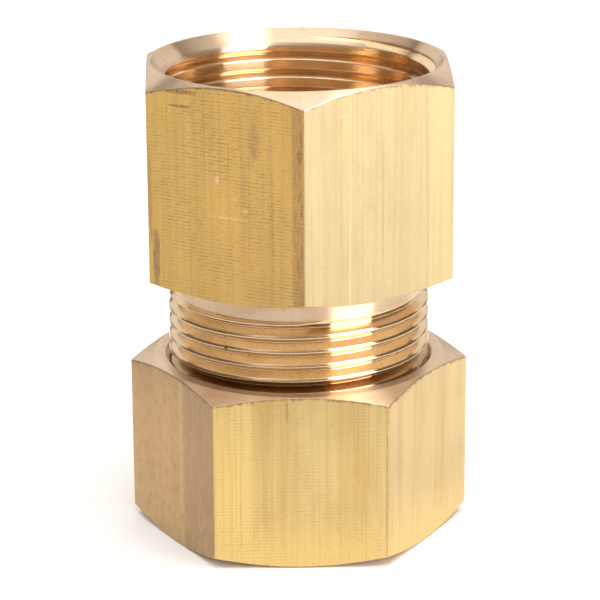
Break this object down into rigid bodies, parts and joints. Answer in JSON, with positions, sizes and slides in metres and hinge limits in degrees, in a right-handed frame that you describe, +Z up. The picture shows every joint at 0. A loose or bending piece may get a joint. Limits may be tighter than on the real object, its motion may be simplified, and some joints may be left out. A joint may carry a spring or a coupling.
{
  "type": "compression fitting",
  "caption": "Brass straight coupling that joins smooth tube to a threaded pipe end: hexagonal body with an internal pipe thread, compression nut and hidden sleeve.",
  "frame": {"origin": "on the common axis, at the nut's base face, where the fitting stands", "axes": "+Z up the common axis from the tube end to the pipe socket; -Y towards the front corner of the body's hexagon; +X square to one of the body's wrench flats"},
  "size_m": [0.033, 0.033, 0.0463],
  "materials": {
    "body_brass": "drawn hexagon bar with turned chamfers and threads",
    "nut_brass": "drawn hexagon bar with turned chamfers and thread",
    "sleeve_brass": "smooth turned"
  },
  "bodies": {
    "connector": {"connector_body": "body_brass"},
    "sleeve": {"compression_sleeve": "sleeve_brass"},
    "nut": {"compression_nut": "nut_brass"}
  },
  "joints": [
    {"name": "sleeve_travel", "type": "slide", "parent": "connector", "child": "sleeve", "axis": [0, 0, 1], "range_m": [-0.00283, 0.00018]},
    {"name": "nut_turn", "type": "hinge", "parent": "sleeve", "child": "nut", "pos_m": [0, 0, 0.0085], "axis": [0, 0, 1], "range_deg": [-720, 45]}
  ],
  "couplings": [
    {"joint": "sleeve_travel", "follows": "nut_turn", "m_per_rad": 0.00022459}
  ]
}
